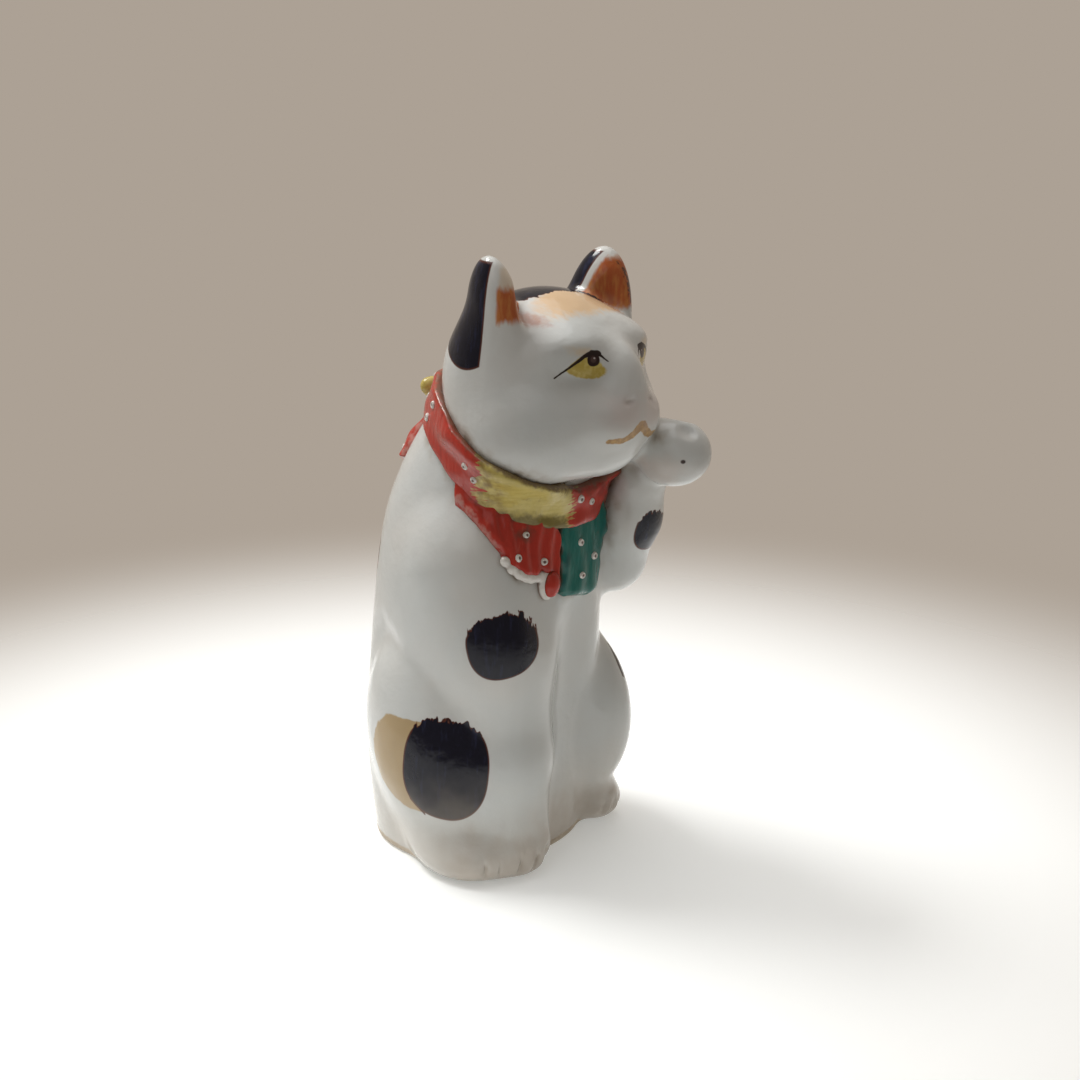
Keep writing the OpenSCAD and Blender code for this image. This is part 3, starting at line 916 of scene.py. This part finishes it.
def enamel_finish(paint, pale=(0.62, 0.50, 0.44)):
    """Pale where worn thin at the rim, dirt and painted shade in the creases, and brush marks."""
    rim = paint.attribute("rim")
    worn = paint.noise(1.1, 3.0, shift=4.0)
    paint.coat(pale, rim + worn * 0.08, 0.90, 1.04, 0.35)
    crease_dirt_shade = paint.attribute("crease_dirt_shade")
    # Brown in the creases: dirt and painted shade.
    paint.coat((0.10, 0.055, 0.03), crease_dirt_shade + worn * 0.25, 0.35, 1.0, 0.75)
    return paint.finish(paint.noise(1.6, 2.0, (1, 1, 3)), 0.06)


RED_PALE = (0.56, 0.12, 0.085)
RED_DARK = (0.20, 0.022, 0.016)


def red_paint(name="red_enamel_panel"):
    """Red enamel with a dark smudge on the panel's upper part."""
    paint = enamel(name, RED_ENAMEL, RED_PALE, RED_DARK)
    smudge = paint.oval(paint.x, paint.z, (-13.2, 77.2), (2.4, 1.8), 2.0) + paint.noise(1.5, 2.0) * 0.5
    paint.coat((0.13, 0.06, 0.04), smudge, -0.3, 1.2, 0.7)
    return enamel_finish(paint)


def collar_paint():
    """Red band with a brushed yellow stretch across the throat."""
    paint = enamel("red_enamel_collar", RED_ENAMEL, RED_PALE, RED_DARK)
    r = along(paint)
    brush = paint.noise(1.0, 3.0, (3.5, 3.5, 0.6), 3.0) * 1.6 + paint.noise(4, 2.0, shift=1.0) * 1.2
    stretch = (r + 0.5).under(19.0 - r).under((3 - paint.x) * 0.8) + brush
    bright = paint.ramp(paint.noise(1.1, 3.0, (4, 4, 0.7)), -0.6, 1.0)
    yellow = paint.blend(YELLOW, (0.60, 0.50, 0.16), bright)
    paint.coat(yellow, stretch, -0.3, 0.7)
    olive = paint.ramp(stretch, 8.0, 0.5) * paint.ramp(r, 11.0, 5.0)
    paint.lay((0.16, 0.085, 0.025), olive * paint.ramp(stretch, -0.3, 0.7)
              * paint.ramp(paint.noise(2.0, 4.0, shift=7.0), -1.0, 0.7) * 0.8)
    under = paint.ramp(paint.z - abs(paint.x + 4) * 0.18 + paint.noise(1.4, 3.0) * 0.9, 80.8, 78.6)
    paint.lay((0.10, 0.075, 0.025), under * paint.ramp(stretch, 0, 1) * 0.75)
    return enamel_finish(paint, (0.52, 0.38, 0.28))


def knot_paint():
    paint = enamel("yellow_enamel_knot", YELLOW, (0.62, 0.55, 0.26), (0.28, 0.20, 0.05))
    return enamel_finish(paint, (0.66, 0.60, 0.42))


def green_paint():
    paint = enamel("green_enamel_panel", GREEN_ENAMEL, (0.03, 0.22, 0.185), (0.008, 0.060, 0.062))
    paint.coat((0.010, 0.055, 0.095), paint.noise(4.5, 2.0, (1, 1, 2), 6.0), 0.3, 1.5, 0.5)
    return enamel_finish(paint, (0.05, 0.26, 0.22))


def white_enamel(name):
    """Thick white enamel with dirt and painted shade in its hollows and a reddish stain in the pits."""
    paint = Paint(name, (0.72, 0.70, 0.66), 0.2, **GLAZE)
    paint.coat((0.50, 0.38, 0.33), paint.noise(1.0, 2.0), 0.0, 1.4, 0.45)
    paint.coat((0.14, 0.05, 0.035), paint.attribute("pit"), 0.25, 0.9, 0.85)
    # Brown in the hollows: dirt and painted shade.
    paint.coat((0.18, 0.10, 0.07), paint.attribute("crease_dirt_shade"), 0.3, 0.9, 0.75)
    return paint.finish(paint.noise(0.9, 2.0), 0.05)


def foot_clay():
    """Bare fired clay of the foot, stained darker round the rim of the vent, with painted shade inside the
    vent.
    """
    paint = Paint("unglazed_foot_clay", (0.56, 0.48, 0.38), 0.75)
    paint.coat((0.36, 0.27, 0.18), paint.noise(6, 4.0), -0.2, 1.2, 0.7)
    paint.coat((0.20, 0.14, 0.09), paint.noise(0.8, 3.0, shift=3.0), 0.6, 1.5, 0.6)
    x, y = paint.x - VENT[0], paint.y - VENT[1]
    ring = (x * x + y * y) ** 0.5
    paint.coat((0.12, 0.085, 0.055), ring + paint.noise(2, 2.0) * 0.5, 7.5, 4.2, 0.7)
    # Painted shade: near black going up the inside of the vent.
    paint.coat((0.012, 0.010, 0.008), paint.z, 1.5, 4.0, paint.ramp(ring, 6.5, 5.0))
    return paint.finish(paint.noise(0.5, 4.0), 0.12)


# ---------------- the pieces
def whole(p):
    """Everything at once, for finding the creases, where dirt and painted shade are laid."""
    return np.minimum.reduce([figure(p), collar(p), red_panel(p), green_panel(p), hem(p), knot(p)])


def crease_dirt_shade_at(points, normals):
    """0 on open surface, 1 deep in a crease."""
    near, wide = (1 - whole(points + reach * normals) / reach for reach in (1.0, 3.2))
    return np.clip(0.6 * np.clip(near, 0, 1.2) + 0.55 * np.clip(wide, 0, 1.2), 0, 1.2)


# Where the head is luted to the torso, and how far the slab's joint lies below the slab's top.
NECK_AT = np.array([0, -10, 88.8])
SLAB_INSET = 1.2


def group_of(points):
    """Name of the CAD node that each point of the figure belongs to."""
    fields = parts(points)
    fields["torso_shell"] = np.minimum(fields["torso_shell"], fields.pop("head_shell"))
    names = np.array(list(fields))
    group = names[np.argmin(np.stack(list(fields.values())), 0)]
    body = group == "torso_shell"
    above = (points - NECK_AT) @ COLLAR_UP > 0
    slab = points[:, 2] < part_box("base_slab")[1][2] / MM - SLAB_INSET
    return np.where(body & above, "head_shell", np.where(body & slab, "base_slab", group))


def evened_groups(group, faces, count, rounds):
    """Takes each face's group from most of its neighbours, so that no islands are left."""
    names, index = np.unique(group, return_inverse=True)
    for _ in range(rounds):
        votes = np.zeros((count, len(names)))
        for corner in range(4):
            np.add.at(votes, (faces[:, corner], index), 1)
        index = votes[faces].sum(1).argmax(1)
    return names[index]


figure_points, figure_faces = sculpted(figure, (-33, -50, -1.5), (33, 32, 137), 0.85, 3)
figure_normals = gradient(figure, figure_points)[0]
face_group = group_of(figure_points[figure_faces].mean(1))
face_group = evened_groups(face_group, figure_faces, len(figure_points), 6)
figure_layers = {"crease_dirt_shade": crease_dirt_shade_at(figure_points, figure_normals)}

GLAZES = {"head_shell": head_glaze(), "right_ear": ear_glaze(), "raised_left_arm": arm_glaze(),
          "torso_shell": body_glaze(), "base_slab": foot_clay()}
GLAZES["left_ear"] = GLAZES["right_ear"]


def finish_piece(piece, material, slot, *nodes):
    piece.data.materials.append(material)
    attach(piece, "root")
    if nodes:
        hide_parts(*nodes)


for name in sorted(set(face_group)):
    piece = closed_mesh("cat_" + name, figure_points, figure_normals, figure_faces[face_group == name],
                        figure_layers)
    material = GLAZES.get(name, GLAZES["torso_shell"])
    slot = "unglazed_foot" if name == "base_slab" else "white_glaze"
    finish_piece(piece, material, slot, name)


def scarf_piece(name, field, low, high, step, material, slot, nodes, rim=None):
    """One closed piece, meshed from its field, with the dirt and painted shade of its creases and its rim
    painted.
    """
    points, faces = sculpted(field, low, high, step, 2)
    normals = gradient(field, points)[0]
    layers = {"crease_dirt_shade": crease_dirt_shade_at(points, normals)}
    if rim is not None:
        layers["rim"] = rim(points)
    piece = closed_mesh(name, points, normals, faces, layers)
    finish_piece(piece, material, slot, *nodes)


def band_rim(points):
    """0 along the band's middle, 1 at its edges."""
    angle, height = round_neck(points)
    low, high = smooth_column(BAND, angle, 1), smooth_column(BAND, angle, 2)
    return np.abs(height - (low + high) / 2) / (high - low) * 2


def edge_rim(corners, mirrored=False):
    """Makes a field that is 1 at the outline and 0 well inside it."""
    def rim(points):
        x = np.abs(points[:, 0]) if mirrored else points[:, 0]
        return np.clip(1 + outline(x, points[:, 2], corners) / 4, 0, 1)
    return rim


scarf_piece("collar_band", collar, (-27, -34, 70), (27, 20, 112), 0.7, collar_paint(), "red_enamel",
            ["collar"], band_rim)
scarf_piece("bib_red_panel_pleated", red_panel, (-24, -32, 62), (-3, -9, 93), 0.5, red_paint(),
            "red_enamel", ["bib_red_panel"], edge_rim(RED))
scarf_piece("bib_green_panel_brushed", green_panel, (-6.5, -34, 57), (13, -14, 93), 0.5, green_paint(),
            "green_enamel", ["bib_green_panel"], edge_rim(GREEN))
scarf_piece("bib_white_hem", hem, (-21, -32, 60), (-3, -14, 75), 0.4, white_enamel("white_enamel_hem"),
            "white_enamel", [])
scarf_piece("hem_bead_drop", bead, BEAD - 4, BEAD + 4, 0.35, red_paint("red_enamel_bead"), "red_enamel",
            ["hem_bead"])
scarf_piece("nape_bow", knot, (-9, 6, 90), (9, 19, 108), 0.45, knot_paint(), "yellow_enamel",
            ["nape_knot"])
scarf_piece("scarf_tails_leaf", tails, (-15, 5, 81), (15, 25, 102), 0.5, red_paint("red_enamel_tails"),
            "red_enamel", ["scarf_tails"], edge_rim(LEAF, True))


def march(field, start, way):
    """First point of the field's surface from the start along way."""
    point = np.array(start, float)
    for _ in range(80):
        point = point + way * float(field(point[None])[0]) * 0.7
    return point


def collar_spot(angle, height):
    """Place and field of a dot on the collar; the next two are for the chest and the tails."""
    way = cos(radians(angle)) * COLLAR_X + sin(radians(angle)) * COLLAR_Y
    return march(collar, COLLAR_AT + 32 * way + height * COLLAR_UP, -way), collar


def chest_spot(x, z):
    field = red_panel if x < SEAM_X else green_panel
    return march(field, (x, -40, z), np.array([0, 1.0, 0])), field


def tail_spot(x, z):
    return march(tails, (x, 40, z), np.array([0, -1.0, 0])), tails


# Radius and height of a dot's rings, from the foot over the rim and down into its pit.
DOT = [(0.95, -0.35), (0.92, 0.02), (0.82, 0.26), (0.66, 0.40), (0.48, 0.42), (0.34, 0.30), (0.20, 0.12)]
COLLAR_DOTS = [(146, 4.6), (150, 8.6), (195, 5.3), (202, 3.6), (270.6, 2.6), (281, 1.4), (318, 5.2),
               (326, 1.8), (2, 3), (10, 6.8), (48, 5.2), (56, 8.4), (116, 8.8), (122, 5)]
CHEST_DOTS = [(-15.9, 73), (-9.5, 71.1), (-13.2, 77.3), (1.2, 73.2), (1.6, 65.9), (6, 69.2)]
TAIL_DOTS = [(-9.3, 89.4), (9.3, 89.4), (-6.4, 94), (6.4, 94)]
ROUND = 24


def dots(name, spots):
    """One mesh of small rings with pits, standing on the surface at each spot."""
    rng = np.random.default_rng(7)
    points, faces, pits = [], [], []
    for place, field in spots:
        up = gradient(field, place[None])[0][0]
        side = np.cross(up, (0.3, 0.2, 0.9))
        side /= np.linalg.norm(side)
        ahead = np.cross(up, side)
        size, first = rng.uniform(0.85, 1.1), len(points)
        squash = rng.uniform(0.85, 1.0)
        for k, (radius, height) in enumerate(DOT):
            for t in 2 * pi * np.arange(ROUND) / ROUND:
                out = radius * (cos(t) * side + squash * sin(t) * ahead)
                points.append(place + size * (out + height * up))
                pits.append(max(k - 3, 0) / 3)
        for k in range(len(DOT) - 1):
            for j in range(ROUND):
                a, b = first + k * ROUND + j, first + k * ROUND + (j + 1) % ROUND
                faces.append((a, b, b + ROUND, a + ROUND))
        faces.append(tuple(first + (len(DOT) - 1) * ROUND + j for j in range(ROUND)))
        faces.append(tuple(first + j for j in reversed(range(ROUND))))
    return meshed(name, points, faces, {"pit": pits})


spots = ([collar_spot(*d) for d in COLLAR_DOTS] + [chest_spot(*d) for d in CHEST_DOTS]
         + [tail_spot(*d) for d in TAIL_DOTS])
finish_piece(dots("enamel_dots_raised", spots), white_enamel("white_enamel_dots"), "white_enamel",
             "enamel_dots")


# ---------------- floor, light and camera
BACKDROP = (0.413, 0.356, 0.300)
FLOOR_RINGS = [50, 100, 200, 400, 800, 1500, 3000]
FLOOR_SIDES = 64
FLOOR_GLOW = 0.24
# Distance from the middle, in metres, at which the paper begins to fade, and where it is gone.
FADE = (0.05, 0.30)


def floor():
    """Disc of pale paper with a weak glow, which fades into the backdrop round the figure."""
    points = [(0, 0, 0)] + [(r * cos(2 * pi * j / FLOOR_SIDES), r * sin(2 * pi * j / FLOOR_SIDES), 0)
                            for r in FLOOR_RINGS for j in range(FLOOR_SIDES)]
    faces = []
    for j in range(FLOOR_SIDES):
        after = (j + 1) % FLOOR_SIDES
        faces.append((0, 1 + j, 1 + after))
        for first in range(1, len(points) - FLOOR_SIDES, FLOOR_SIDES):
            outer = first + FLOOR_SIDES
            faces.append((first + j, outer + j, outer + after, first + after))
    piece = meshed("floor", points, faces, {})
    material = bpy.data.materials.new("floor_paper")
    material.use_nodes = True
    tree = material.node_tree
    tree.nodes.remove(tree.nodes["Principled BSDF"])
    matt, glow, paper, clear, mix = (tree.nodes.new("ShaderNode" + kind) for kind in (
        "BsdfDiffuse", "Emission", "AddShader", "BsdfTransparent", "MixShader"))
    matt.inputs["Color"].default_value = (0.88, 0.89, 0.89, 1)
    glow.inputs["Color"].default_value = (0.95, 1, 1, 1)
    glow.inputs["Strength"].default_value = FLOOR_GLOW
    place, length, fade = (tree.nodes.new("ShaderNode" + kind) for kind in (
        "TexCoord", "VectorMath", "MapRange"))
    length.operation, fade.interpolation_type = "LENGTH", "SMOOTHERSTEP"
    fade.inputs["From Min"].default_value, fade.inputs["From Max"].default_value = FADE
    for source, target in ((place.outputs["Object"], length.inputs[0]),
                           (length.outputs["Value"], fade.inputs["Value"]),
                           (matt.outputs[0], paper.inputs[0]), (glow.outputs[0], paper.inputs[1]),
                           (fade.outputs["Result"], mix.inputs[0]), (paper.outputs[0], mix.inputs[1]),
                           (clear.outputs[0], mix.inputs[2]),
                           (mix.outputs[0], tree.nodes["Material Output"].inputs["Surface"])):
        tree.links.new(source, target)
    piece.data.materials.append(material)


def lamp(name, at, towards, size, power, colour):
    """Oval area light, turned towards a place."""
    data = bpy.data.lights.new(name, "AREA")
    data.shape = "ELLIPSE"
    data.size, data.size_y = size
    data.energy = power
    data.color = colour
    piece = placed(name, data)
    piece.location = at
    piece.rotation_euler = (Vector(towards) - Vector(at)).to_track_quat("-Z", "Y").to_euler()


# The world is at its full strength ahead of the camera and dimmer behind it.
AHEAD = (0.749, 0.6626, 0.15)
WORLD_LEVEL = {"From Min": -0.6, "From Max": 0.5, "To Min": 0.4, "To Max": 1.0}


def backdrop():
    world = bpy.data.worlds.new("backdrop")
    world.use_nodes = True
    tree = world.node_tree
    tree.nodes["Background"].inputs["Color"].default_value = (*BACKDROP, 1)
    place = tree.nodes.new("ShaderNodeTexCoord")
    ahead = tree.nodes.new("ShaderNodeVectorMath")
    ahead.operation = "DOT_PRODUCT"
    ahead.inputs[1].default_value = AHEAD
    level = tree.nodes.new("ShaderNodeMapRange")
    level.interpolation_type = "SMOOTHSTEP"
    for key, value in WORLD_LEVEL.items():
        level.inputs[key].default_value = value
    tree.links.new(place.outputs["Generated"], ahead.inputs[0])
    tree.links.new(ahead.outputs["Value"], level.inputs["Value"])
    tree.links.new(level.outputs["Result"], tree.nodes["Background"].inputs["Strength"])
    bpy.context.scene.world = world


# The camera: place in metres, degrees down and round, and lens in millimetres on a 36 mm sensor.
VIEW_FROM = (-0.2241, -0.2145, 0.155)
VIEW_DOWN, VIEW_ROUND = 15.5, -48.5
LENS, SENSOR = 48.2, 36


def camera():
    data = bpy.data.cameras.new("camera")
    data.lens, data.sensor_width, data.clip_start = LENS, SENSOR, 0.01
    piece = placed("camera", data)
    piece.location = VIEW_FROM
    piece.rotation_euler = (radians(90 - VIEW_DOWN), 0, radians(VIEW_ROUND))
    bpy.context.scene.camera = piece


floor()
backdrop()
camera()
lamp("window_key", (-0.15, 0.6, 1.0), (0, 0, 0.03), (0.5, 0.4), 8, (1.0, 1.0, 0.98))
lamp("sky_soft", (-0.05, 0.3, 1.2), (0, 0, 0.03), (1.5, 1.3), 7, (0.96, 0.98, 1.0))
lamp("soft_fill", (-0.95, -0.35, 0.8), (0, 0, 0.08), (0.8, 0.8), 1.0, (0.96, 0.98, 1.0))
bpy.context.scene.view_settings.view_transform = "Standard"
